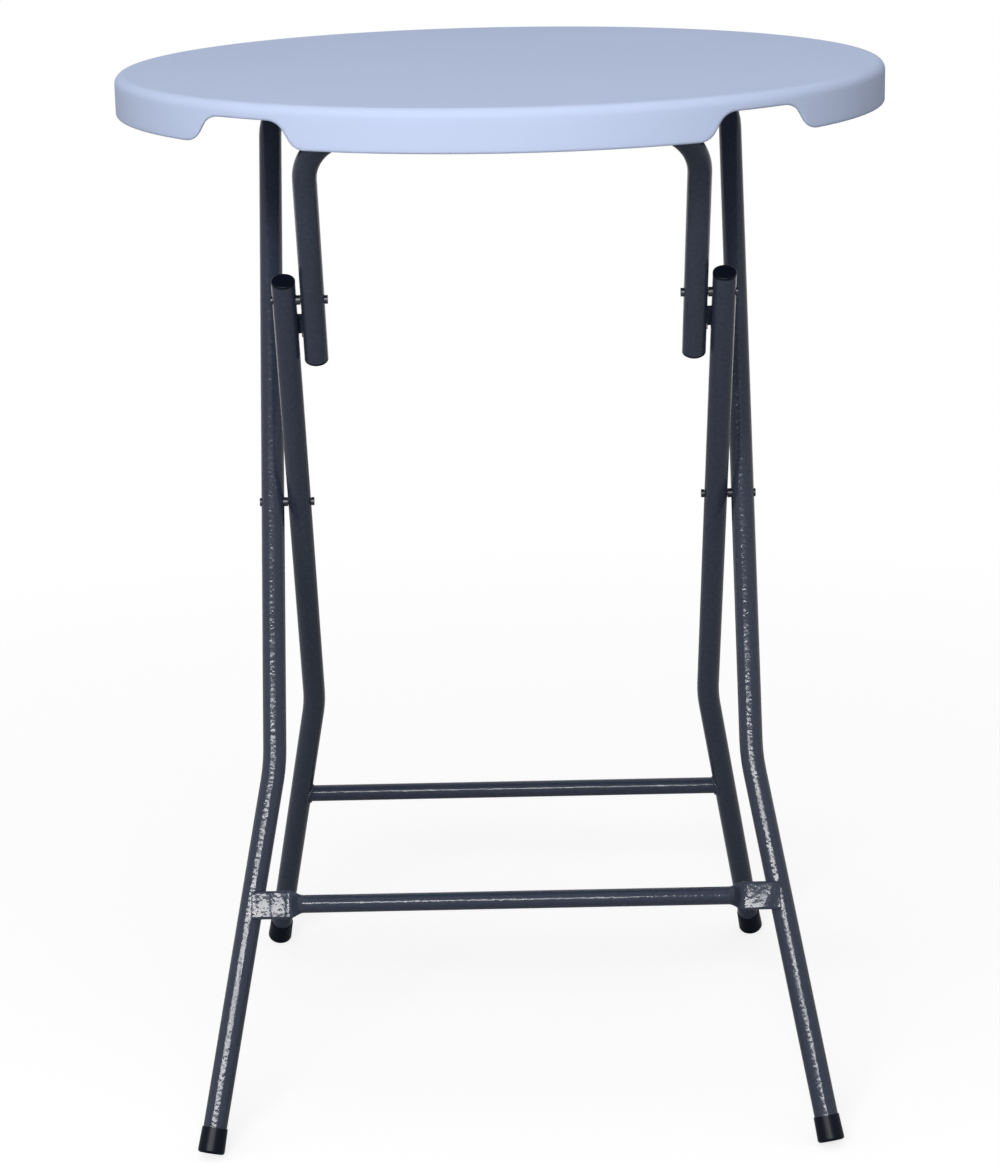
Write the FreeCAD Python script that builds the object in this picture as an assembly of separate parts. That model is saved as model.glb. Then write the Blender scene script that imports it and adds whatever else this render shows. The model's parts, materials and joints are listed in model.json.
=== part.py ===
import FreeCAD, Part
import math
import os

# Folding bar table. Millimetres, +Z up, front towards -Y, origin on the floor under the middle of the top.

# Top
TOP_RADIUS = 400.0
TABLE_HEIGHT = 1100.0
RIM_HEIGHT = 42.0
RIM_WIDTH = 14.0
DECK_THICKNESS = 8.0
UPPER_EDGE_ROUND = 10.0
LOWER_EDGE_ROUND = 3.0
NOTCH_DEPTH = 26.5
NOTCH_INNER_X = 203.5
NOTCH_OUTER_X = 288.0
NOTCH_SLANT = 60.0
NOTCH_ROUND = 18.0

# Side view of the legs
HINGE_Z = 1056.0
PIVOT_Z = 632.0
FOOT_Y = 300.0

# Tubes
TUBE_RADIUS = 12.5
TUBE_WALL = 1.2
PLANE_GAP = 4.0
LINK_X = 197.0
CORNER_BEND = 55.0
SPLAY_BEND = 200.0
FRONT_FOOT_X = 326.0
REAR_FOOT_X = 292.0
FRONT_SPLAY_Z = 373.0
REAR_SPLAY_Z = 363.0
REAR_STUB = 22.0
LINK_TAIL = 74.0

# Stretchers
STRETCHER_RADIUS = 9.5
FRONT_STRETCHER_Z = 237.0
REAR_STRETCHER_Z = 228.0
PADDLE_THICKNESS = 4.0
PADDLE_LENGTH = 39.0
PADDLE_TAPER = 17.0
PADDLE_INSET = 1.0
PADDLE_SEAT = 1.0

# Rivets, spacers and stops
RIVET_RADIUS = 3.25
RIVET_HEAD_RADIUS = 4.5
RIVET_HEAD_HEIGHT = 3.2
FORMED_HEAD_HEIGHT = 1.5
HEAD_SEAT = 2.0
SPACER_RADIUS = 5.0
SPACER_SEAT = 5.0
MOVING_GAP = 0.3
RUNNING_FIT = 0.05
LUG_START = 29.0
LUG_HEIGHT = 23.0
LUG_THICKNESS = 3.0
LUG_INNER_REACH = 7.0
LUG_STEP = 1.5
LUG_OUTER_REACH = 9.0
LUG_ROOT = 6.0

# Foot caps and plugs
CAP_UPPER_RADIUS = 13.5
CAP_LOWER_RADIUS = 14.2
CAP_HEIGHT = 27.0
CAP_SOLE = 4.0
CAP_EDGE_ROUND = 3.0
CAP_FLAT = 0.6
PLUG_HEAD = 3.0
PLUG_EDGE_ROUND = 1.6
PLUG_STEM = 14.0

# Hinge seats
SEAT_X = 110.0
SEAT_LENGTH = 50.0
SEAT_WIDTH = 66.0
SEAT_CORNER_ROUND = 5.0
STRAP_WIDTH = 26.0
STRAP_THICKNESS = 2.0
SCREW_OFFSET = 23.5
SCREW_RADIUS = 2.0
SCREW_DEPTH = 16.0
SCREW_HEAD_RADIUS = 4.2
SCREW_HEAD_HEIGHT = 2.6
SCREW_HEAD_ROUND = 1.4

REAR_X = LINK_X + 2 * TUBE_RADIUS + PLANE_GAP
FRONT_X = REAR_X + 2 * TUBE_RADIUS + PLANE_GAP
BORE_RADIUS = TUBE_RADIUS - TUBE_WALL
PADDLE_HEIGHT = math.pi * STRETCHER_RADIUS
RIM_BOTTOM = TABLE_HEIGHT - RIM_HEIGHT
DECK_BOTTOM = TABLE_HEIGHT - DECK_THICKNESS

LEAN = math.atan2(FOOT_Y, PIVOT_Z)
HINGE_Y = (HINGE_Z - PIVOT_Z) * math.tan(LEAN)
PIVOT_S = (HINGE_Z - PIVOT_Z) / math.cos(LEAN)
UPPER_PIVOT_S = HINGE_Y
FLOOR_S = HINGE_Z / math.cos(LEAN)

X_AXIS = FreeCAD.Vector(1, 0, 0)


class LegPlane:
    """Plane of a leg frame: x across, s down along the legs from the hinge, n out of the plane."""

    def __init__(self, hinge_y, foot_side):
        self.hinge = FreeCAD.Vector(0, hinge_y, HINGE_Z)
        self.down = FreeCAD.Vector(0, foot_side * math.sin(LEAN), -math.cos(LEAN))
        self.out = FreeCAD.Vector(0, foot_side * math.cos(LEAN), math.sin(LEAN))

    def point(self, x, s, n=0.0):
        return self.hinge + X_AXIS * x + self.down * s + self.out * n

    def s_at_height(self, z):
        return (HINGE_Z - z) / math.cos(LEAN)


front_plane = LegPlane(HINGE_Y, -1)
rear_plane = LegPlane(-HINGE_Y, 1)


def rod(radius, start, end):
    return Part.makeCylinder(radius, (end - start).Length, start, end - start)


def x_rod(radius, plane, s, x_start, x_end):
    return rod(radius, plane.point(x_start, s), plane.point(x_end, s))


def bent_wire(points, bends):
    edges = []
    start = points[0]
    for corner, after, bend in zip(points[1:], points[2:], bends):
        before_dir = (start - corner).normalize()
        after_dir = (after - corner).normalize()
        half = before_dir.getAngle(after_dir) / 2
        arc_start = corner + before_dir * (bend / math.tan(half))
        arc_end = corner + after_dir * (bend / math.tan(half))
        middle_dir = (before_dir + after_dir).normalize()
        arc_middle = corner + middle_dir * (bend / math.sin(half) - bend)
        if (arc_start - start).Length > 0.01:
            edges.append(Part.LineSegment(start, arc_start).toShape())
        edges.append(Part.Arc(arc_start, arc_middle, arc_end).toShape())
        start = arc_end
    edges.append(Part.LineSegment(start, points[-1]).toShape())
    return Part.Wire(edges)


def sweep(radius, points, bends):
    section = Part.Wire(Part.makeCircle(radius, points[0], points[1] - points[0]))
    return Part.Solid(bent_wire(points, bends).makePipeShell([section], True, False).Shells[0])


def bent_tube(points, bends):
    return sweep(TUBE_RADIUS, points, bends).cut(sweep(BORE_RADIUS, points, bends))


def straight_tube(radius, start, end):
    return rod(radius, start, end).cut(rod(radius - TUBE_WALL, start, end))


def leg_line(plane, side, straight_x, foot_x, splay_z):
    """Splay corner of a leg, the unit direction below it and the end of the leg's axis at the cap's sole."""
    corner = plane.point(side * straight_x, plane.s_at_height(splay_z))
    along = (plane.point(side * foot_x, FLOOR_S) - corner).normalize()
    tilt = math.acos(-along.z)
    edge_drop = (CAP_LOWER_RADIUS - CAP_EDGE_ROUND) * math.sin(tilt) + CAP_EDGE_ROUND * (1 - math.cos(tilt))
    sole_z = edge_drop - CAP_FLAT
    sole = corner + along * ((sole_z - corner.z) / along.z)
    return corner, along, sole


def foot_cap(along, sole):
    top = sole - along * CAP_HEIGHT
    cap = Part.makeCone(CAP_UPPER_RADIUS, CAP_LOWER_RADIUS, CAP_HEIGHT, top, along)
    sole_edges = [edge for edge in cap.Edges if (edge.CenterOfMass - sole).Length < 1.0]
    cap = cap.makeFillet(CAP_EDGE_ROUND, sole_edges)
    cap = cap.cut(rod(TUBE_RADIUS, top, sole - along * CAP_SOLE))
    below_floor = Part.makeBox(2000, 2000, 100, FreeCAD.Vector(-1000, -1000, -100))
    return cap.cut(below_floor)


def end_plug(end, outward):
    head = rod(TUBE_RADIUS, end, end + outward * PLUG_HEAD)
    rim = [edge for edge in head.Edges if (edge.CenterOfMass - end - outward * PLUG_HEAD).Length < 0.5]
    head = head.makeFillet(PLUG_EDGE_ROUND, rim)
    return head.fuse(rod(BORE_RADIUS, end - outward * PLUG_STEM, end)).removeSplitter()


def cross_hole(plane, side, x, s, radius):
    return x_rod(radius, plane, s, side * (x - 20), side * (x + 20))


def tube_core(plane, side, x, s):
    """Full round of a straight tube near one of its pivots, used to seat heads and spacers on it."""
    return rod(TUBE_RADIUS, plane.point(side * x, s - 40), plane.point(side * x, s + 40))


def export(name, shape):
    shape.exportStep("parts/" + name + ".step")


def rim_notch(side):
    """Slant-sided cut through the front of the rim, where the folded legs pass."""
    half_run = NOTCH_DEPTH / 2 / math.tan(math.radians(NOTCH_SLANT))
    roof_z = RIM_BOTTOM + NOTCH_DEPTH
    inner_end = NOTCH_INNER_X - 40
    outer_end = NOTCH_OUTER_X + 40

    def at(x, z):
        return FreeCAD.Vector(side * x, -TOP_RADIUS - 20, z)

    corners = [
        at(inner_end, RIM_BOTTOM),
        at(NOTCH_INNER_X - half_run, RIM_BOTTOM),
        at(NOTCH_INNER_X + half_run, roof_z),
        at(NOTCH_OUTER_X - half_run, roof_z),
        at(NOTCH_OUTER_X + half_run, RIM_BOTTOM),
        at(outer_end, RIM_BOTTOM),
    ]
    upper = bent_wire(corners, [NOTCH_ROUND] * 4)
    below = RIM_BOTTOM - 10
    lower = Part.makePolygon([corners[-1], at(outer_end, below), at(inner_end, below), corners[0]])
    return Part.Face(Part.Wire(upper.Edges + lower.Edges)).extrude(FreeCAD.Vector(0, 200, 0))


def hinge_seat(x, y):
    corner = FreeCAD.Vector(x - SEAT_LENGTH / 2, y - SEAT_WIDTH / 2, HINGE_Z)
    seat = Part.makeBox(SEAT_LENGTH, SEAT_WIDTH, DECK_BOTTOM + 1 - HINGE_Z, corner)
    upright = [edge for edge in seat.Edges if abs(edge.tangentAt(edge.FirstParameter).z) > 0.9]
    return seat.makeFillet(SEAT_CORNER_ROUND, upright)


def seat_bore(x, y, radius, length):
    return Part.makeCylinder(radius, length, FreeCAD.Vector(x - length / 2, y, HINGE_Z), X_AXIS)


def saddle_strap(x, y):
    inner = TUBE_RADIUS + RUNNING_FIT
    outer = inner + STRAP_THICKNESS
    bow = seat_bore(x, y, outer, STRAP_WIDTH).cut(seat_bore(x, y, inner, STRAP_WIDTH))
    flange = Part.makeBox(
        STRAP_WIDTH,
        SEAT_WIDTH,
        STRAP_THICKNESS,
        FreeCAD.Vector(x - STRAP_WIDTH / 2, y - SEAT_WIDTH / 2, HINGE_Z - STRAP_THICKNESS),
    )
    flange = flange.cut(seat_bore(x, y, inner, STRAP_WIDTH))
    lower_half = Part.makeBox(
        STRAP_WIDTH, 200, 100, FreeCAD.Vector(x - STRAP_WIDTH / 2, y - 100, HINGE_Z - 100)
    )
    strap = bow.common(lower_half).fuse(flange).removeSplitter()
    for offset in (-SCREW_OFFSET, SCREW_OFFSET):
        strap = strap.cut(screw_shank(x, y + offset))
    return strap


def screw_shank(x, y):
    foot = FreeCAD.Vector(x, y, HINGE_Z - STRAP_THICKNESS)
    return Part.makeCylinder(SCREW_RADIUS, SCREW_DEPTH + STRAP_THICKNESS, foot)


def saddle_screw(x, y):
    foot = FreeCAD.Vector(x, y, HINGE_Z - STRAP_THICKNESS - SCREW_HEAD_HEIGHT)
    head = Part.makeCylinder(SCREW_HEAD_RADIUS, SCREW_HEAD_HEIGHT, foot)
    rim = [edge for edge in head.Edges if (edge.CenterOfMass - foot).Length < 0.5]
    return head.makeFillet(SCREW_HEAD_ROUND, rim).fuse(screw_shank(x, y))


def tabletop(seats):
    inner_radius = TOP_RADIUS - RIM_WIDTH
    profile = Part.makePolygon([
        FreeCAD.Vector(0, 0, DECK_BOTTOM),
        FreeCAD.Vector(inner_radius, 0, DECK_BOTTOM),
        FreeCAD.Vector(inner_radius, 0, RIM_BOTTOM),
        FreeCAD.Vector(TOP_RADIUS, 0, RIM_BOTTOM),
        FreeCAD.Vector(TOP_RADIUS, 0, TABLE_HEIGHT),
        FreeCAD.Vector(0, 0, TABLE_HEIGHT),
        FreeCAD.Vector(0, 0, DECK_BOTTOM),
    ])
    disc = Part.Face(profile).revolve(FreeCAD.Vector(0, 0, 0), FreeCAD.Vector(0, 0, 1), 360)
    upper = [edge for edge in disc.Edges if edge.Length > 2000 and edge.CenterOfMass.z > TABLE_HEIGHT - 1]
    disc = disc.makeFillet(UPPER_EDGE_ROUND, upper)
    lower = [edge for edge in disc.Edges if edge.Length > 2000 and edge.CenterOfMass.z < RIM_BOTTOM + 1]
    disc = disc.makeFillet(LOWER_EDGE_ROUND, lower)
    for x, y in seats:
        disc = disc.fuse(hinge_seat(x, y))
    for side in (-1, 1):
        disc = disc.cut(rim_notch(side))
    for x, y in seats:
        disc = disc.cut(seat_bore(x, y, TUBE_RADIUS + RUNNING_FIT, SEAT_LENGTH + 2))
        for offset in (-SCREW_OFFSET, SCREW_OFFSET):
            disc = disc.cut(screw_shank(x, y + offset))
    return disc.removeSplitter()


def round_section(x, s):
    """Full round of the front stretcher, its back level with the front of the legs."""
    centre = TUBE_RADIUS + STRETCHER_RADIUS

    def at(angle):
        across = STRETCHER_RADIUS * math.sin(math.radians(angle))
        forward = STRETCHER_RADIUS * math.cos(math.radians(angle))
        return front_plane.point(x, s + across, centre + forward)

    arcs = [(-50, 0, 50), (50, 90, 130), (130, 180, 230), (230, 270, 310)]
    return Part.Wire([Part.Arc(at(first), at(middle), at(last)).toShape() for first, middle, last in arcs])


def flat_section(x, s):
    """Flattened end of the front stretcher, lying on the front of a leg."""
    half = PADDLE_THICKNESS / 2
    reach = PADDLE_HEIGHT / 2 - half
    back = TUBE_RADIUS - PADDLE_SEAT
    front = back + PADDLE_THICKNESS

    def at(u, n):
        return front_plane.point(x, s + u, n)

    return Part.Wire([
        Part.LineSegment(at(-reach, front), at(reach, front)).toShape(),
        Part.Arc(at(reach, front), at(reach + half, back + half), at(reach, back)).toShape(),
        Part.LineSegment(at(reach, back), at(-reach, back)).toShape(),
        Part.Arc(at(-reach, back), at(-reach - half, back + half), at(-reach, front)).toShape(),
    ])


def front_stretcher(legs):
    s = front_plane.s_at_height(FRONT_STRETCHER_Z)
    leg_x = FRONT_X + (FRONT_FOOT_X - FRONT_X) * (FRONT_SPLAY_Z - FRONT_STRETCHER_Z) / FRONT_SPLAY_Z
    axis_n = TUBE_RADIUS + STRETCHER_RADIUS
    taper_end = leg_x - PADDLE_INSET - PADDLE_LENGTH
    taper_start = taper_end - PADDLE_TAPER
    body = straight_tube(
        STRETCHER_RADIUS,
        front_plane.point(-taper_start, s, axis_n),
        front_plane.point(taper_start, s, axis_n),
    )
    for side in (-1, 1):
        flat = flat_section(side * taper_end, s)
        taper = Part.makeLoft([round_section(side * taper_start, s), flat], True)
        paddle = Part.Face(flat).extrude(X_AXIS * (side * PADDLE_LENGTH))
        body = body.fuse(taper).fuse(paddle)
    for leg in legs:
        body = body.cut(leg)
    return body.removeSplitter()


def stop_lug(side):
    s_start = UPPER_PIVOT_S + LUG_START
    near_n = TUBE_RADIUS + MOVING_GAP
    far_n = near_n + LUG_THICKNESS
    inner_x = LINK_X - LUG_INNER_REACH
    step_x = LINK_X + TUBE_RADIUS + LUG_STEP
    outer_x = REAR_X + LUG_OUTER_REACH

    def plate(x_start, x_end, n_start):
        corners = [(x_start, n_start), (x_end, n_start), (x_end, far_n), (x_start, far_n), (x_start, n_start)]
        outline = Part.makePolygon([rear_plane.point(side * x, s_start, n) for x, n in corners])
        return Part.Face(outline).extrude(rear_plane.down * LUG_HEIGHT)

    lug = plate(inner_x, step_x, LUG_ROOT).fuse(plate(inner_x, outer_x, near_n))
    return lug.cut(tube_core(rear_plane, side, LINK_X, s_start)).removeSplitter()


os.makedirs("parts", exist_ok=True)

seats = [(x, y) for y in (-HINGE_Y, HINGE_Y) for x in (-SEAT_X, SEAT_X)]
export("tabletop", tabletop(seats))
screws = []
for x, y in seats:
    place = ("link" if y < 0 else "leg") + ("_left" if x < 0 else "_right")
    export("saddle_" + place, saddle_strap(x, y))
    for offset in (-SCREW_OFFSET, SCREW_OFFSET):
        screws.append(saddle_screw(x, y + offset))
export("saddle_screws", Part.makeCompound(screws))

for name, plane, x in (("leg_hinge_bar", front_plane, FRONT_X), ("link_hinge_bar", rear_plane, LINK_X)):
    reach = x - CORNER_BEND
    export(name, straight_tube(TUBE_RADIUS, plane.point(-reach, 0), plane.point(reach, 0)))

front_rounds = []
rear_rounds = []
for side, word in ((-1, "left"), (1, "right")):
    corner, along, sole = leg_line(front_plane, side, FRONT_X, FRONT_FOOT_X, FRONT_SPLAY_Z)
    tube_end = sole - along * CAP_SOLE
    path = [front_plane.point(side * (FRONT_X - CORNER_BEND), 0), front_plane.point(side * FRONT_X, 0)]
    path = path + [corner, tube_end]
    front_rounds.append(rod(TUBE_RADIUS, corner, tube_end))
    leg = bent_tube(path, [CORNER_BEND, SPLAY_BEND])
    leg = leg.cut(cross_hole(front_plane, side, FRONT_X, PIVOT_S, RIVET_RADIUS))
    export("front_leg_" + word, leg)
    export("front_foot_" + word, foot_cap(along, sole))

    corner, along, sole = leg_line(rear_plane, side, REAR_X, REAR_FOOT_X, REAR_SPLAY_Z)
    tube_end = sole - along * CAP_SOLE
    stub_end = rear_plane.point(side * REAR_X, UPPER_PIVOT_S - REAR_STUB)
    rear_rounds.append(rod(TUBE_RADIUS, corner, tube_end))
    leg = bent_tube([stub_end, corner, tube_end], [SPLAY_BEND])
    leg = leg.cut(cross_hole(rear_plane, side, REAR_X, PIVOT_S, RIVET_RADIUS + RUNNING_FIT))
    leg = leg.cut(cross_hole(rear_plane, side, REAR_X, UPPER_PIVOT_S, RIVET_RADIUS))
    export("rear_leg_" + word, leg)
    export("rear_foot_" + word, foot_cap(along, sole))
    export("rear_plug_" + word, end_plug(stub_end, rear_plane.down * -1))

    arm_end = rear_plane.point(side * LINK_X, UPPER_PIVOT_S + LINK_TAIL)
    path = [rear_plane.point(side * (LINK_X - CORNER_BEND), 0), rear_plane.point(side * LINK_X, 0), arm_end]
    arm = bent_tube(path, [CORNER_BEND])
    arm = arm.cut(cross_hole(rear_plane, side, LINK_X, UPPER_PIVOT_S, RIVET_RADIUS))
    export("link_arm_" + word, arm)
    export("link_plug_" + word, end_plug(arm_end, rear_plane.down))
    export("stop_lug_" + word, stop_lug(side))

    # Scissor rivet: fixed in the front leg, turning in the rear leg.
    front_round = tube_core(front_plane, side, FRONT_X, PIVOT_S)
    tail_x = REAR_X - TUBE_RADIUS - MOVING_GAP
    head_x = FRONT_X + TUBE_RADIUS
    head_ends = side * (head_x - HEAD_SEAT), side * (head_x + FORMED_HEAD_HEIGHT)
    head = x_rod(RIVET_HEAD_RADIUS, front_plane, PIVOT_S, *head_ends)
    tail = x_rod(RIVET_HEAD_RADIUS, front_plane, PIVOT_S, side * (tail_x - RIVET_HEAD_HEIGHT), side * tail_x)
    shank = x_rod(RIVET_RADIUS, front_plane, PIVOT_S, side * tail_x, side * head_x)
    export("scissor_rivet_" + word, head.cut(front_round).fuse([tail, shank]).removeSplitter())
    spacer_x = REAR_X + TUBE_RADIUS + MOVING_GAP
    spacer = x_rod(SPACER_RADIUS, front_plane, PIVOT_S, side * spacer_x, side * (FRONT_X - SPACER_SEAT))
    spacer = spacer.cut(front_round).cut(shank)
    export("scissor_spacer_" + word, spacer)

    # Upper rivet: fixed in the rear leg and ending just short of the link, with its inner end on the link.
    rear_round = tube_core(rear_plane, side, REAR_X, UPPER_PIVOT_S)
    end_x = LINK_X + TUBE_RADIUS + MOVING_GAP
    head_x = REAR_X + TUBE_RADIUS
    head_ends = side * (head_x - HEAD_SEAT), side * (head_x + FORMED_HEAD_HEIGHT)
    head = x_rod(RIVET_HEAD_RADIUS, rear_plane, UPPER_PIVOT_S, *head_ends)
    shank = x_rod(RIVET_RADIUS, rear_plane, UPPER_PIVOT_S, side * end_x, side * head_x)
    export("upper_rivet_" + word, head.cut(rear_round).fuse(shank).removeSplitter())
    spacer = x_rod(SPACER_RADIUS, rear_plane, UPPER_PIVOT_S, side * end_x, side * (REAR_X - SPACER_SEAT))
    spacer = spacer.cut(rear_round).cut(shank)
    export("upper_spacer_" + word, spacer)
    link_round = tube_core(rear_plane, side, LINK_X, UPPER_PIVOT_S)
    inner_x = LINK_X - TUBE_RADIUS
    head_ends = side * (inner_x - RIVET_HEAD_HEIGHT), side * (inner_x + HEAD_SEAT)
    head = x_rod(RIVET_HEAD_RADIUS, rear_plane, UPPER_PIVOT_S, *head_ends)
    shank = x_rod(RIVET_RADIUS, rear_plane, UPPER_PIVOT_S, side * inner_x, side * (LINK_X + TUBE_RADIUS))
    export("link_rivet_" + word, head.cut(link_round).fuse(shank).removeSplitter())

export("front_stretcher", front_stretcher(front_rounds))
s = rear_plane.s_at_height(REAR_STRETCHER_Z)
reach = REAR_FOOT_X - TUBE_RADIUS
stretcher = straight_tube(STRETCHER_RADIUS, rear_plane.point(-reach, s), rear_plane.point(reach, s))
for leg in rear_rounds:
    stretcher = stretcher.cut(leg)
middle = min(stretcher.Solids, key=lambda piece: abs(piece.CenterOfMass.x))
export("rear_stretcher", middle)
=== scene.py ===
import json
import math

import bmesh
import bpy
from mathutils import Matrix, Vector


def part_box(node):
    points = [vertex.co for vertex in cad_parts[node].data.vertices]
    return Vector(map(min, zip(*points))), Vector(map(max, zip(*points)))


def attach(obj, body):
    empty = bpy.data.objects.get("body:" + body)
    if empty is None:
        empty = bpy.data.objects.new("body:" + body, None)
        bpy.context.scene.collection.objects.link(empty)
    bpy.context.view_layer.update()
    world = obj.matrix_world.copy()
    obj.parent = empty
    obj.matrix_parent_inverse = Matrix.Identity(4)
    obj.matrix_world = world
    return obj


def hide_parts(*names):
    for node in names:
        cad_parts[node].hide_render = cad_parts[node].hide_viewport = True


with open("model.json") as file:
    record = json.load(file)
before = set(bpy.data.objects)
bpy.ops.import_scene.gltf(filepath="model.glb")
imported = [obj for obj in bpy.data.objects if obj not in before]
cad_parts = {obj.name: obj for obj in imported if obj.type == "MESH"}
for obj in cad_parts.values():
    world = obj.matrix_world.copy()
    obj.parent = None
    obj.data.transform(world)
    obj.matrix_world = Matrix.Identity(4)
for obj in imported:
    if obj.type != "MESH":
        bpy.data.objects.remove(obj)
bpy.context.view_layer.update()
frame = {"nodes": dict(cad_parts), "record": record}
scene = bpy.context.scene

# Every length is in metres, and every scale of a finish is a count per metre.
UNIT = (0.0, 1.0)
WHITE = (1.0, 1.0, 1.0, 1.0)
CREASE_ANGLE = math.radians(40)

# Camera: seen from the front, a little above the top, with the picture turned slightly
CAMERA_PLACE = (-0.0103, -3.2, 1.43435)
PICTURE_PIXELS = 1000
FOCAL_PIXELS = 3036.8
SENSOR_WIDTH = 36.0
SIGHT_END = 100.0
PITCH = 0.2742
ROLL = 0.0202

# Enamel of the tubes: soft puddles with finer ripples, and a drift of colour and gloss
PUDDLE_SCALE = 260.0
PUDDLE_SOFTNESS = 0.8
BEND_SCALE = 120.0
BEND_REACH = 0.005
RIPPLE_SCALE = 650.0
RIPPLE_SHARE = 0.08
MOTTLE_SCALE = 240.0
MOTTLE_SPAN = (0.35, 0.68)
HANDLED_SCALE = 35.0
ENAMEL_ROUGHNESS = (0.13, 0.20)
ENAMEL_DEPTH = 0.00021
ENAMEL_SPECULAR = 0.2

# Grain of the plastics and the plated steel
NOISE_SPAN = (0.3, 0.7)
GRAIN_SCALE = 1500.0
GLOSS_LOSS = 0.5
GLOSS_DRIFT = (-0.04, 0.04)
TINT_SCALE = 7.0
PLASTIC_DEPTH = 0.00002
PLASTIC_SPECULAR = 0.08
STEEL_GRAIN = 900.0
STEEL_DEPTH = 0.00004

# Moulded top
top_low, top_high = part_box("tabletop")
TOP_RADIUS = top_high[0]
TOP_Z = top_high[2]
HINGE_Z = top_low[2]
RIM_Z = TOP_Z - 0.042
RIM_WIDTH = 0.014
DECK_Z = TOP_Z - 0.008
UPPER_ROUND = 0.010
UPPER_STEPS = 8
LOWER_ROUND = 0.003
LOWER_STEPS = 5
DECK_FILLET = 0.003
FILLET_STEPS = 4
FLAT_MARGIN = 0.004
WALL_STEPS = 5
INNER_WALL_STEPS = 3
NOTCH_DEPTH = 0.0265
NOTCH_INNER_X = 0.2035
NOTCH_OUTER_X = 0.288
NOTCH_SLANT = math.radians(60)
NOTCH_ROUND = 0.018
NOTCH_REACH = 0.034
EDGE_STEP = 0.0018
COLUMN_STEP = math.radians(1.5)
NOTCH_FADE = 8 * COLUMN_STEP
MERGE_DISTANCE = 0.00002

# Dimples under the top, as rings of radius and depth from the lip to the floor
DIMPLE_PITCH = 0.056
DIMPLE_ROW = DIMPLE_PITCH * math.sin(math.pi / 3)
DIMPLE_RINGS = ((0.0150, 0.0), (0.0135, 0.0007), (0.0085, 0.0040), (0.0068, 0.0046))
DIMPLE_REACH = 0.334
DIMPLE_SIDES = 24
DIMPLE_CLEARANCE = DIMPLE_PITCH / 3

# Hinge seats
seat_low, seat_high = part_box("saddle_leg_right")
SEAT_X = (seat_low[0] + seat_high[0]) / 2
SEAT_Y = (seat_low[1] + seat_high[1]) / 2
SEAT_WIDTH = seat_high[1] - seat_low[1]
SEAT_LENGTH = 0.050
SEAT_ROOT_Z = DECK_Z + 0.004
SEAT_CORNER = 0.005
SEAT_CORNER_STEPS = 4
CHANNEL_RADIUS = 0.01255
CHANNEL_STEPS = 16

# Front stretcher, flattened into a paddle where it lies on each leg; side -1 is the left, 1 the right
hinge_place, pivot_place, link_place = (
    Vector(joint["pos_m"]) for joint in frame["record"]["behaviour"]["joints"]
)
LEG_DOWN = (pivot_place - hinge_place).normalized()
LEG_OUT = Vector((0.0, LEG_DOWN.z, -LEG_DOWN.y))
TUBE_RADIUS = 0.0125
STRETCHER_Z = 0.237
STRETCHER_RADIUS = 0.0095
STRETCHER_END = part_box("front_stretcher")[1][0]
STRETCHER_SIDES = 64
PADDLE_HEIGHT = math.pi * STRETCHER_RADIUS
PADDLE_THICKNESS = 0.004
PADDLE_SEAT = 0.001
PADDLE_LENGTH = 0.039
PADDLE_STEPS = 40
PADDLE_EDGE = 0.0008
PADDLE_EDGE_STEPS = 4
PADDLE_TAPER = 0.017
TAPER_STEPS = 12
PADDLE_LIP = 0.006
LIP_DROPS = {-1: 0.0012, 1: 0.0}
BARREL_DROP = 0.0004
DENT_SLOPES = {-1: 0.185, 1: 0.15}
DENT_PITCHES = {-1: 0.0159, 1: 0.037}
DENT_STARTS = {-1: 0.0006, 1: 0.0155}
DENT_SLANTS = {-1: 0.0, 1: -0.35}

# Rear stretcher, the legs that it is welded to and the weld beads
rear_low, rear_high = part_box("rear_stretcher")
REAR_RADIUS = (rear_high[2] - rear_low[2]) / 2
REAR_DOWN = (pivot_place - link_place).normalized()
REAR_OUT = Vector((0.0, -REAR_DOWN.z, REAR_DOWN.y))
REAR_LEG_X = 0.2506
REAR_SPLAY = math.radians(9.3)
rear_middle = Vector((0.0, (rear_low[1] + rear_high[1]) / 2, (rear_low[2] + rear_high[2]) / 2))
BEAD_RADIUS = 0.0024
BEAD_SIDES = 12
BEAD_STEPS = 96
BEAD_RIPPLES = 24
BEAD_RIPPLE = 0.10
BEAD_PROBE = 0.01

# Floor and lights
FLOOR_RADIUS = 2.5
FLOOR_SIDES = 96
FLOOR_ROUGHNESS = 0.9
FLOOR_PALE = 0.92
FLOOR_DIM = 0.22
FLOOR_LIT = 0.625
SHADOW_SHARE = 0.4
SHADOW_NEAR = 0.6
SHADOW_FAR = 2.2
WORLD_SOFT = 0.27
LAMP_TARGET = Vector((0.0, 0.0, 0.6))


# Finishes
def new_material(name):
    material = bpy.data.materials.new(name)
    material.use_nodes = True
    tree = material.node_tree
    return material, tree, tree.nodes["Principled BSDF"]


def new_group(name, inputs, outputs):
    """Shader node group with float inputs (name, default) and float outputs."""
    group = bpy.data.node_groups.new(name, "ShaderNodeTree")
    for label, default in inputs:
        socket = group.interface.new_socket(label, in_out="INPUT", socket_type="NodeSocketFloat")
        socket.default_value = default
    for label in outputs:
        group.interface.new_socket(label, in_out="OUTPUT", socket_type="NodeSocketFloat")
    return group, group.nodes.new("NodeGroupInput"), group.nodes.new("NodeGroupOutput")


def noise(tree, place, scale, detail=2.0, roughness=0.5):
    node = tree.nodes.new("ShaderNodeTexNoise")
    node.inputs["Scale"].default_value = scale
    node.inputs["Detail"].default_value = detail
    node.inputs["Roughness"].default_value = roughness
    tree.links.new(place, node.inputs["Vector"])
    return node


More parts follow.
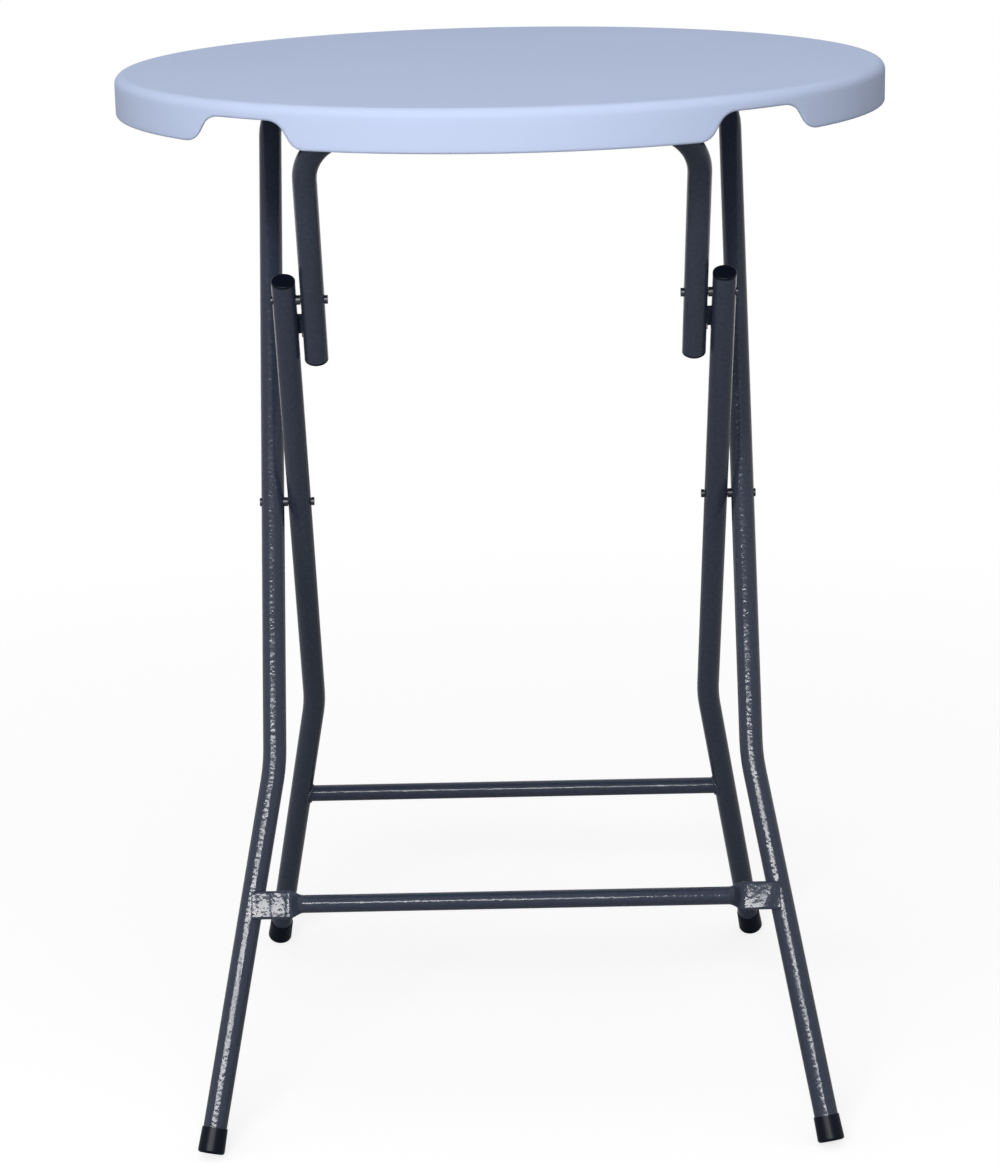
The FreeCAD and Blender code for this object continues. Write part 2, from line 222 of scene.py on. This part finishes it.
def remap(tree, value, span, new_span):
    node = tree.nodes.new("ShaderNodeMapRange")
    node.inputs["From Min"].default_value, node.inputs["From Max"].default_value = span
    node.inputs["To Min"].default_value, node.inputs["To Max"].default_value = new_span
    tree.links.new(value, node.inputs["Value"])
    return node.outputs["Result"]


def mix_colour(tree, factor, first, second):
    node = tree.nodes.new("ShaderNodeMix")
    node.data_type = "RGBA"
    node.inputs["A"].default_value = (*first, 1.0)
    node.inputs["B"].default_value = (*second, 1.0)
    tree.links.new(factor, node.inputs["Factor"])
    return node.outputs["Result"]


def combine(tree, operation, first, second):
    node = tree.nodes.new("ShaderNodeMath")
    node.operation = operation
    tree.links.new(first, node.inputs[0])
    tree.links.new(second, node.inputs[1])
    return node.outputs["Value"]


def coat_skin_group():
    """Orange peel of a thick glossy enamel: small soft puddles with finer ripples."""
    group, given, out = new_group(
        "coat_skin", [("Puddles per metre", PUDDLE_SCALE)], ["Height", "Mottle", "Roughness"]
    )
    place = group.nodes.new("ShaderNodeTexCoord").outputs["Object"]
    warp = noise(group, place, BEND_SCALE)
    bend = group.nodes.new("ShaderNodeVectorMath")
    bend.operation = "MULTIPLY_ADD"
    bend.inputs[1].default_value = (BEND_REACH, BEND_REACH, BEND_REACH)
    group.links.new(warp.outputs["Color"], bend.inputs[0])
    group.links.new(place, bend.inputs[2])
    puddles = group.nodes.new("ShaderNodeTexVoronoi")
    puddles.feature = "SMOOTH_F1"
    puddles.inputs["Smoothness"].default_value = PUDDLE_SOFTNESS
    group.links.new(given.outputs["Puddles per metre"], puddles.inputs["Scale"])
    group.links.new(bend.outputs["Vector"], puddles.inputs["Vector"])
    ripples = noise(group, place, RIPPLE_SCALE)
    total = group.nodes.new("ShaderNodeMath")
    total.operation = "MULTIPLY_ADD"
    total.inputs[1].default_value = RIPPLE_SHARE
    group.links.new(ripples.outputs["Fac"], total.inputs[0])
    group.links.new(puddles.outputs["Distance"], total.inputs[2])
    group.links.new(total.outputs["Value"], out.inputs["Height"])
    mottle = noise(group, bend.outputs["Vector"], MOTTLE_SCALE, detail=4.0, roughness=0.6)
    group.links.new(remap(group, mottle.outputs["Fac"], MOTTLE_SPAN, UNIT), out.inputs["Mottle"])
    handled = noise(group, place, HANDLED_SCALE, detail=3.0)
    gloss = remap(group, handled.outputs["Fac"], NOISE_SPAN, ENAMEL_ROUGHNESS)
    group.links.new(gloss, out.inputs["Roughness"])
    return group


def moulded_skin_group():
    """Fine moulded grain with a faint, wide unevenness."""
    group, given, out = new_group(
        "moulded_skin",
        [("Grain per metre", GRAIN_SCALE), ("Gloss loss", GLOSS_LOSS)],
        ["Height", "Tint", "Roughness"],
    )
    place = group.nodes.new("ShaderNodeTexCoord").outputs["Object"]
    grain = noise(group, place, GRAIN_SCALE, roughness=0.55)
    group.links.new(given.outputs["Grain per metre"], grain.inputs["Scale"])
    group.links.new(grain.outputs["Fac"], out.inputs["Height"])
    wide = noise(group, place, TINT_SCALE, detail=3.0)
    group.links.new(remap(group, wide.outputs["Fac"], NOISE_SPAN, UNIT), out.inputs["Tint"])
    drift = remap(group, grain.outputs["Fac"], NOISE_SPAN, GLOSS_DRIFT)
    uneven = combine(group, "ADD", drift, given.outputs["Gloss loss"])
    group.links.new(uneven, out.inputs["Roughness"])
    return group


def use_group(tree, group):
    node = tree.nodes.new("ShaderNodeGroup")
    node.node_tree = group
    return node


def add_bump(tree, shader, height, distance):
    bump = tree.nodes.new("ShaderNodeBump")
    bump.inputs["Strength"].default_value = 1.0
    bump.inputs["Distance"].default_value = distance
    tree.links.new(height, bump.inputs["Height"])
    tree.links.new(bump.outputs["Normal"], shader.inputs["Normal"])


coat_skin = coat_skin_group()
moulded_skin = moulded_skin_group()


def enamel_material(name, dark, light):
    material, tree, shader = new_material(name)
    skin = use_group(tree, coat_skin)
    tree.links.new(mix_colour(tree, skin.outputs["Mottle"], dark, light), shader.inputs["Base Color"])
    tree.links.new(skin.outputs["Roughness"], shader.inputs["Roughness"])
    add_bump(tree, shader, skin.outputs["Height"], ENAMEL_DEPTH)
    shader.inputs["Specular IOR Level"].default_value = ENAMEL_SPECULAR
    return material


def plastic_material(name, dark, light, grain, roughness):
    material, tree, shader = new_material(name)
    skin = use_group(tree, moulded_skin)
    skin.inputs["Grain per metre"].default_value = grain
    skin.inputs["Gloss loss"].default_value = roughness
    tree.links.new(mix_colour(tree, skin.outputs["Tint"], dark, light), shader.inputs["Base Color"])
    tree.links.new(skin.outputs["Roughness"], shader.inputs["Roughness"])
    add_bump(tree, shader, skin.outputs["Height"], PLASTIC_DEPTH)
    shader.inputs["Specular IOR Level"].default_value = PLASTIC_SPECULAR
    return material


def metal_material(name, dark, light, roughness):
    material, tree, shader = new_material(name)
    skin = use_group(tree, moulded_skin)
    skin.inputs["Grain per metre"].default_value = STEEL_GRAIN
    tree.links.new(mix_colour(tree, skin.outputs["Tint"], dark, light), shader.inputs["Base Color"])
    add_bump(tree, shader, skin.outputs["Height"], STEEL_DEPTH)
    shader.inputs["Metallic"].default_value = 1.0
    shader.inputs["Roughness"].default_value = roughness
    return material


SLOT_MATERIALS = {
    "moulded_top": plastic_material(
        "top_plastic",
        dark=(0.605, 0.703, 0.950),
        light=(0.615, 0.713, 0.960),
        grain=1400.0,
        roughness=0.85,
    ),
    "hammered_coat": enamel_material(
        "slate_coat",
        dark=(0.034, 0.044, 0.071),
        light=(0.042, 0.054, 0.088),
    ),
    "black_plastic": plastic_material(
        "black_plastic",
        dark=(0.004, 0.006, 0.013),
        light=(0.005, 0.007, 0.016),
        grain=1600.0,
        roughness=0.34,
    ),
    "rivet_steel": metal_material(
        "rivet_steel",
        dark=(0.025, 0.026, 0.030),
        light=(0.055, 0.057, 0.063),
        roughness=0.4,
    ),
    "zinc_steel": metal_material(
        "zinc_steel",
        dark=(0.42, 0.43, 0.45),
        light=(0.55, 0.56, 0.57),
        roughness=0.38,
    ),
}


def dress(piece, slot):
    piece.data.materials.clear()
    piece.data.materials.append(SLOT_MATERIALS[slot])


for part in frame["record"]["subparts"]:
    dress(frame["nodes"][part["node"]], part["material_slot"])


# Helpers for the shapes
def quarter(steps):
    """Angles of a quarter turn in even steps, both ends included."""
    return [math.pi / 2 * step / steps for step in range(steps + 1)]


def full_turn(steps):
    """Angles of a full turn in even steps, without the last, which is the first again."""
    return [2 * math.pi * step / steps for step in range(steps)]


def between(start, end, steps):
    """Points that divide a straight run into even steps, without its ends."""
    return [start.lerp(end, step / steps) for step in range(1, steps)]


def join_loops(mesh, loops):
    """Skin of four-sided faces between each loop of points and the next."""
    for here, after in zip(loops, loops[1:]):
        for first in range(len(here)):
            onward = (first + 1) % len(here)
            mesh.faces.new((here[first], here[onward], after[onward], after[first]))


def finish_piece(mesh, name, slot, body, node=None):
    """Make a bmesh into a smooth piece that rides on a body and stands for a node, if one is named."""
    data = bpy.data.meshes.new(name)
    mesh.to_mesh(data)
    mesh.free()
    data.shade_smooth()
    piece = bpy.data.objects.new(name, data)
    scene.collection.objects.link(piece)
    creases = piece.modifiers.new("creases", "EDGE_SPLIT")
    creases.split_angle = CREASE_ANGLE
    dress(piece, slot)
    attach(piece, body)
    if node:
        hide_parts(node)


# Moulded top
def run_on(line, end):
    """Carry a line straight on to an end."""
    steps = math.ceil((end - line[-1]).length / EDGE_STEP)
    line.extend(between(line[-1], end, steps) + [end])


def notch_line():
    """Lower edge of the rim across the right notch, as points (x, z) from the inner end outwards."""
    half_run = NOTCH_DEPTH / 2 / math.tan(NOTCH_SLANT)
    roof_z = RIM_Z + NOTCH_DEPTH
    corners = [
        Vector((NOTCH_INNER_X - NOTCH_REACH, RIM_Z)),
        Vector((NOTCH_INNER_X - half_run, RIM_Z)),
        Vector((NOTCH_INNER_X + half_run, roof_z)),
        Vector((NOTCH_OUTER_X - half_run, roof_z)),
        Vector((NOTCH_OUTER_X + half_run, RIM_Z)),
        Vector((NOTCH_OUTER_X + NOTCH_REACH, RIM_Z)),
    ]
    cut = NOTCH_ROUND * math.tan(NOTCH_SLANT / 2)
    arc_steps = math.ceil(NOTCH_ROUND * NOTCH_SLANT / EDGE_STEP)
    line = [corners[0]]
    for before, corner, after in zip(corners, corners[1:], corners[2:]):
        ahead = (corner - before).normalized()
        onward = (after - corner).normalized()
        start = corner - ahead * cut
        run_on(line, start)
        side = Vector((-ahead.y, ahead.x)) * math.copysign(NOTCH_ROUND, ahead.cross(onward))
        for step in range(1, arc_steps + 1):
            turn = NOTCH_SLANT * step / arc_steps
            line.append(start + side * (1 - math.cos(turn)) + ahead * (NOTCH_ROUND * math.sin(turn)))
    run_on(line, corners[-1])
    return line


def rim_columns():
    """
    Columns round the right half of the rim, from the front to the back. Each has its azimuth, the height of
    the lower edge, that edge's normal in x and z, and how far the section runs straight back there, 0 to 1.
    """
    line = notch_line()
    start = math.asin(line[0].x / TOP_RADIUS)
    end = math.asin(line[-1].x / TOP_RADIUS)
    columns = []
    steps = math.ceil(start / COLUMN_STEP)
    for step in range(steps):
        azimuth = start * step / steps
        columns.append((azimuth, RIM_Z, 0.0, 1.0, max(0.0, 1 - (start - azimuth) / NOTCH_FADE)))
    for before, point, after in zip(line[:1] + line, line, line[1:] + line[-1:]):
        along = (after - before).normalized()
        columns.append((math.asin(point.x / TOP_RADIUS), point.y, -along.y, along.x, 1.0))
    steps = math.ceil((math.pi - end) / COLUMN_STEP)
    for step in range(1, steps + 1):
        azimuth = end + (math.pi - end) * step / steps
        columns.append((azimuth, RIM_Z, 0.0, 1.0, max(0.0, 1 - (azimuth - end) / NOTCH_FADE)))
    return columns


def rim_point(column, inset, rise=0.0, z=None):
    """Point inset from the outer face, either rise up from the edge, square to it, or at a height z."""
    azimuth, edge_z, lean, lift, straight = column
    reach = TOP_RADIUS - inset
    x = TOP_RADIUS * math.sin(azimuth) + rise * lean
    turn = azimuth
    if straight > 0:
        outer_turn = math.asin(x / TOP_RADIUS)
        turn = outer_turn + straight * (math.asin(x / reach) - outer_turn)
    height = edge_z + rise * lift if z is None else z
    return Vector((reach * math.sin(turn), -reach * math.cos(turn), height))


def rim_profile(column):
    """Section of the top at one column, from the flat of its upper face to the flat of its lower face."""
    upper = [rim_point(column, UPPER_ROUND + FLAT_MARGIN, z=TOP_Z)]
    for turn in quarter(UPPER_STEPS):
        inset = UPPER_ROUND * (1 - math.sin(turn))
        upper.append(rim_point(column, inset, z=TOP_Z - UPPER_ROUND * (1 - math.cos(turn))))
    edge = []
    for turn in quarter(LOWER_STEPS):
        inset = LOWER_ROUND * (1 - math.cos(turn))
        edge.append(rim_point(column, inset, LOWER_ROUND * (1 - math.sin(turn))))
    for turn in reversed(quarter(LOWER_STEPS)):
        inset = RIM_WIDTH - LOWER_ROUND * (1 - math.cos(turn))
        edge.append(rim_point(column, inset, LOWER_ROUND * (1 - math.sin(turn))))
    deck = []
    for turn in quarter(FILLET_STEPS):
        inset = RIM_WIDTH + DECK_FILLET * (1 - math.cos(turn))
        deck.append(rim_point(column, inset, z=DECK_Z - DECK_FILLET * (1 - math.sin(turn))))
    deck.append(rim_point(column, RIM_WIDTH + DECK_FILLET + FLAT_MARGIN, z=DECK_Z))
    wall = between(upper[-1], edge[0], WALL_STEPS)
    inner_wall = between(edge[-1], deck[0], INNER_WALL_STEPS)
    return upper + wall + edge + inner_wall + deck


def add_dimple(mesh, centre_x, centre_y):
    """Six-sided cell of the underside with a round dimple pressed into it."""
    sixth = math.pi / 3
    border = []
    for turn in full_turn(DIMPLE_SIDES):
        off_axis = (turn + sixth / 2) % sixth - sixth / 2
        reach = DIMPLE_PITCH / 2 / math.cos(off_axis)
        border.append((reach * math.cos(turn), reach * math.sin(turn), 0.0))
    rings = [border]
    for radius, depth in DIMPLE_RINGS:
        rings.append([
            (radius * math.cos(turn), radius * math.sin(turn), depth)
            for turn in full_turn(DIMPLE_SIDES)
        ])
    loops = []
    for ring in rings:
        loops.append([mesh.verts.new((centre_x + x, centre_y + y, DECK_Z + z)) for x, y, z in ring])
    join_loops(mesh, loops[::-1])
    mesh.faces.new(loops[-1][::-1])


def dimple_centres():
    rows = math.ceil(DIMPLE_REACH / DIMPLE_ROW)
    columns = math.ceil(DIMPLE_REACH / DIMPLE_PITCH)
    for row in range(-rows, rows + 1):
        for column in range(-columns - 1, columns + 1):
            x = (column + 0.5 * (row % 2)) * DIMPLE_PITCH
            y = row * DIMPLE_ROW
            clear_x = abs(abs(x) - SEAT_X) - SEAT_LENGTH / 2
            clear_y = abs(abs(y) - SEAT_Y) - SEAT_WIDTH / 2
            if math.hypot(x, y) < DIMPLE_REACH and max(clear_x, clear_y) > DIMPLE_CLEARANCE:
                yield x, y


def add_seat(mesh, x, y):
    """Block under the top with a half-round channel for a hinge bar."""
    outline = [(-SEAT_WIDTH / 2, SEAT_ROOT_Z), (-SEAT_WIDTH / 2, HINGE_Z)]
    for step in range(CHANNEL_STEPS + 1):
        turn = math.pi * step / CHANNEL_STEPS
        outline.append((-CHANNEL_RADIUS * math.cos(turn), HINGE_Z + CHANNEL_RADIUS * math.sin(turn)))
    outline += [(SEAT_WIDTH / 2, HINGE_Z), (SEAT_WIDTH / 2, SEAT_ROOT_Z)]
    ends = []
    for end_x in (x - SEAT_LENGTH / 2, x + SEAT_LENGTH / 2):
        ends.append([mesh.verts.new((end_x, y + across, z)) for across, z in outline])
    mesh.faces.new(ends[0])
    mesh.faces.new(ends[1][::-1])
    join_loops(mesh, ends[::-1])
    upright = [mesh.edges.get(pair) for end in ends for pair in (end[:2], end[-2:])]
    bmesh.ops.bevel(
        mesh, geom=upright, offset=SEAT_CORNER, segments=SEAT_CORNER_STEPS, profile=0.5, affect="EDGES"
    )


def make_top():
    mesh = bmesh.new()
    profiles = [rim_profile(column) for column in rim_columns()]
    for profile in profiles[-2:0:-1]:
        profiles.append([Vector((-point.x, point.y, point.z)) for point in profile])
    rim = [[mesh.verts.new(point) for point in profile] for profile in profiles]
    for here, after in zip(rim, rim[1:] + rim[:1]):
        for upper, lower in zip(range(len(here) - 1), range(1, len(here))):
            mesh.faces.new((here[upper], here[lower], after[lower], after[upper]))
    mesh.faces.new([column[0] for column in rim])
    for x, y in dimple_centres():
        add_dimple(mesh, x, y)
    bmesh.ops.remove_doubles(mesh, verts=mesh.verts, dist=MERGE_DISTANCE)
    open_edges = [edge for edge in mesh.edges if edge.is_boundary]
    bmesh.ops.triangle_fill(
        mesh, edges=open_edges, use_beauty=True, use_dissolve=False, normal=(0, 0, -1)
    )
    for x in (-SEAT_X, SEAT_X):
        for y in (-SEAT_Y, SEAT_Y):
            add_seat(mesh, x, y)
    bmesh.ops.recalc_face_normals(mesh, faces=mesh.faces)
    finish_piece(mesh, "moulded_tabletop", "moulded_top", "top", "tabletop")


# Front stretcher
def flat_point(share, inset):
    """Point (across, out) of a flattened tube's outline, a share of the way round from mid-front."""
    half = PADDLE_THICKNESS / 2 - inset
    reach = (PADDLE_HEIGHT - PADDLE_THICKNESS) / 2
    run = share * (4 * reach + 2 * math.pi * half)
    if run <= reach:
        return run, half
    run -= reach
    if run <= math.pi * half:
        return reach + half * math.sin(run / half), half * math.cos(run / half)
    run -= math.pi * half
    if run <= 2 * reach:
        return reach - run, -half
    run -= 2 * reach
    if run <= math.pi * half:
        return -reach - half * math.sin(run / half), -half * math.cos(run / half)
    return run - math.pi * half - reach, half


def press_marks(side, from_end, across):
    """How far the press leaves a paddle's front from flat: shallow dents and a dropped lip at its end."""
    lip = LIP_DROPS[side] * max(0.0, 1 - from_end / PADDLE_LIP) ** 2
    barrel = BARREL_DROP * (2 * across / PADDLE_HEIGHT) ** 2
    place = from_end - DENT_STARTS[side] + DENT_SLANTS[side] * across
    waves = 2 * math.pi / DENT_PITCHES[side]
    return DENT_SLOPES[side] / waves * (math.cos(waves * place) - 1) - lip - barrel


def stretcher_section(side, from_end, inset):
    """Section of the front stretcher as points (down the leg, out of the leg), round or pressed flat."""
    share = min(1.0, max(0.0, (from_end - PADDLE_LENGTH) / PADDLE_TAPER))
    roundness = share * share * (3 - 2 * share)
    middle = TUBE_RADIUS - PADDLE_SEAT + PADDLE_THICKNESS / 2
    centre = TUBE_RADIUS + STRETCHER_RADIUS
    points = []
    for corner, turn in enumerate(full_turn(STRETCHER_SIDES)):
        across, flat_out = flat_point(corner / STRETCHER_SIDES, inset)
        from_back = flat_out / PADDLE_THICKNESS + 0.5
        out = middle + flat_out + from_back * press_marks(side, from_end, across)
        down = across + roundness * (STRETCHER_RADIUS * math.sin(turn) - across)
        out += roundness * (centre + STRETCHER_RADIUS * math.cos(turn) - out)
        points.append((down, out))
    return points


def stretcher_stations():
    """Stations from an end of the front stretcher to its round part, each with the inset of its outline."""
    stations = []
    for turn in reversed(quarter(PADDLE_EDGE_STEPS)):
        stations.append((PADDLE_EDGE * (1 - math.sin(turn)), PADDLE_EDGE * (1 - math.cos(turn))))
    for step in range(1, PADDLE_STEPS + 1):
        stations.append((PADDLE_LENGTH * step / PADDLE_STEPS, 0.0))
    for step in range(1, TAPER_STEPS + 1):
        stations.append((PADDLE_LENGTH + PADDLE_TAPER * step / TAPER_STEPS, 0.0))
    return stations


def make_front_stretcher():
    mesh = bmesh.new()
    middle = hinge_place + LEG_DOWN * ((hinge_place.z - STRETCHER_Z) / -LEG_DOWN.z)
    stations = stretcher_stations()
    loops = []
    for side, half in ((-1, stations), (1, stations[::-1])):
        for from_end, inset in half:
            place = middle + Vector((side * (STRETCHER_END - from_end), 0, 0))
            section = stretcher_section(side, from_end, inset)
            loops.append([mesh.verts.new(place + LEG_DOWN * down + LEG_OUT * out) for down, out in section])
    join_loops(mesh, loops)
    mesh.faces.new(loops[0])
    mesh.faces.new(loops[-1])
    bmesh.ops.recalc_face_normals(mesh, faces=mesh.faces)
    finish_piece(mesh, "flattened_front_stretcher", "hammered_coat", "front_legs", "front_stretcher")


# Weld beads where the rear stretcher meets the rear legs
def weld_line(side, turn):
    """Point where the rear stretcher's skin, a turn round it, runs into the inner side of a rear leg."""
    up = REAR_RADIUS * math.cos(turn)
    out = REAR_RADIUS * math.sin(turn)
    leg_x = REAR_LEG_X - up * math.tan(REAR_SPLAY)
    x = leg_x - math.sqrt(TUBE_RADIUS ** 2 - out ** 2) / math.cos(REAR_SPLAY)
    return rear_middle + Vector((side * x, 0, 0)) - REAR_DOWN * up + REAR_OUT * out


def make_weld_bead(side, word):
    mesh = bmesh.new()
    loops = []
    for turn in full_turn(BEAD_STEPS):
        here = weld_line(side, turn)
        along = (weld_line(side, turn + BEAD_PROBE) - weld_line(side, turn - BEAD_PROBE)).normalized()
        first = along.cross(here - rear_middle).normalized()
        second = along.cross(first)
        radius = BEAD_RADIUS * (1 + BEAD_RIPPLE * math.cos(BEAD_RIPPLES * turn))
        loops.append([
            mesh.verts.new(here + first * (radius * math.cos(angle)) + second * (radius * math.sin(angle)))
            for angle in full_turn(BEAD_SIDES)
        ])
    join_loops(mesh, loops + loops[:1])
    bmesh.ops.recalc_face_normals(mesh, faces=mesh.faces)
    finish_piece(mesh, "rear_weld_" + word, "hammered_coat", "rear_legs")


make_top()
make_front_stretcher()
make_weld_bead(-1, "left")
make_weld_bead(1, "right")


# Floor, lights and camera
def camera_and_mirrored(tree):
    """Masks of the rays that come from the camera, and of those that the object mirrors or lets through."""
    path = tree.nodes.new("ShaderNodeLightPath").outputs
    mirrored = combine(tree, "MAXIMUM", path["Is Glossy Ray"], path["Is Transmission Ray"])
    return path["Is Camera Ray"], mirrored


def floor_material():
    """Pale paint that the camera sees as white less the table's shadow, and sees through from below."""
    material, tree, shader = new_material("pale_floor")
    shader.inputs["Roughness"].default_value = FLOOR_ROUGHNESS
    shader.inputs["Specular IOR Level"].default_value = 0.0
    shader.inputs["Emission Color"].default_value = WHITE
    from_camera, mirrored = camera_and_mirrored(tree)
    reach = tree.nodes.new("ShaderNodeVectorMath")
    reach.operation = "LENGTH"
    tree.links.new(tree.nodes.new("ShaderNodeTexCoord").outputs["Object"], reach.inputs[0])
    shaded = remap(tree, reach.outputs["Value"], (SHADOW_NEAR, SHADOW_FAR), (SHADOW_SHARE, 0.0))
    paint = tree.nodes.new("ShaderNodeMix")
    tree.links.new(from_camera, paint.inputs["Factor"])
    tree.links.new(remap(tree, mirrored, UNIT, (FLOOR_DIM, FLOOR_PALE)), paint.inputs["A"])
    tree.links.new(shaded, paint.inputs["B"])
    tree.links.new(paint.outputs["Result"], shader.inputs["Base Color"])
    white = remap(tree, shaded, UNIT, (1.0, 1.0 - FLOOR_LIT))
    tree.links.new(combine(tree, "MULTIPLY", white, from_camera), shader.inputs["Emission Strength"])
    below = tree.nodes.new("ShaderNodeNewGeometry").outputs["Backfacing"]
    tree.links.new(remap(tree, below, UNIT, (1.0, 0.0)), shader.inputs["Alpha"])
    return material


def stage_floor():
    mesh = bmesh.new()
    bmesh.ops.create_circle(mesh, cap_ends=True, segments=FLOOR_SIDES, radius=FLOOR_RADIUS)
    data = bpy.data.meshes.new("floor")
    mesh.to_mesh(data)
    mesh.free()
    floor = bpy.data.objects.new("floor", data)
    scene.collection.objects.link(floor)
    data.materials.append(floor_material())


def soft_box(name, azimuth, elevation, distance, size, power, mirrored=False):
    """
    Rectangular lamp aimed at the table; azimuth to the right of the front and elevation are in degrees.
    A mirrored lamp shows only in gloss, the others light the surfaces only.
    """
    turn, climb = math.radians(azimuth), math.radians(elevation)
    level = math.cos(climb)
    toward = Vector((math.sin(turn) * level, -math.cos(turn) * level, math.sin(climb)))
    light = bpy.data.lights.new(name, "AREA")
    light.shape = "RECTANGLE"
    light.size, light.size_y = size
    light.energy = power
    lamp = bpy.data.objects.new(name, light)
    lamp.location = LAMP_TARGET + toward * distance
    lamp.rotation_euler = (-toward).to_track_quat("-Z", "Y").to_euler()
    lamp.visible_glossy = mirrored
    lamp.visible_diffuse = not mirrored
    lamp.visible_camera = False
    scene.collection.objects.link(lamp)


def light_world():
    """White surroundings, which the camera and the gloss see in full and the surfaces feel softly."""
    world = bpy.data.worlds.new("studio")
    scene.world = world
    world.use_nodes = True
    tree = world.node_tree
    background = tree.nodes["Background"]
    background.inputs["Color"].default_value = WHITE
    seen = combine(tree, "MAXIMUM", *camera_and_mirrored(tree))
    tree.links.new(remap(tree, seen, UNIT, (WORLD_SOFT, 1.0)), background.inputs["Strength"])


def place_camera():
    camera = bpy.data.cameras.new("camera")
    camera.sensor_fit = "HORIZONTAL"
    camera.sensor_width = SENSOR_WIDTH
    camera.lens = FOCAL_PIXELS / PICTURE_PIXELS * SENSOR_WIDTH
    camera.clip_end = SIGHT_END
    viewer = bpy.data.objects.new("camera", camera)
    scene.collection.objects.link(viewer)
    ahead = Vector((0.0, math.cos(PITCH), -math.sin(PITCH)))
    right = Vector((1.0, 0.0, 0.0))
    above = right.cross(ahead)
    turned_right = right * math.cos(ROLL) - above * math.sin(ROLL)
    turned_above = right * math.sin(ROLL) + above * math.cos(ROLL)
    turn = Matrix((turned_right, turned_above, -ahead)).transposed()
    viewer.matrix_world = Matrix.Translation(CAMERA_PLACE) @ turn.to_4x4()
    scene.camera = viewer


stage_floor()
soft_box("key", azimuth=-13.0, elevation=25.2, distance=8.2, size=(4.0, 0.86), power=222.0)
soft_box("strip", azimuth=-13.0, elevation=24.5, distance=8.0, size=(7.0, 1.05), power=930.0, mirrored=True)
soft_box("front_fill", azimuth=-6.0, elevation=18.0, distance=2.6, size=(1.6, 1.0), power=15.0)
soft_box("left_fill", azimuth=-65.0, elevation=16.0, distance=2.6, size=(1.4, 1.0), power=3.4)
soft_box("right_fill", azimuth=65.0, elevation=16.0, distance=2.6, size=(1.4, 1.0), power=1.2)
soft_box("overhead", azimuth=0.0, elevation=82.0, distance=3.0, size=(3.0, 3.0), power=21.0)
light_world()
place_camera()
scene.view_settings.view_transform = "Standard"
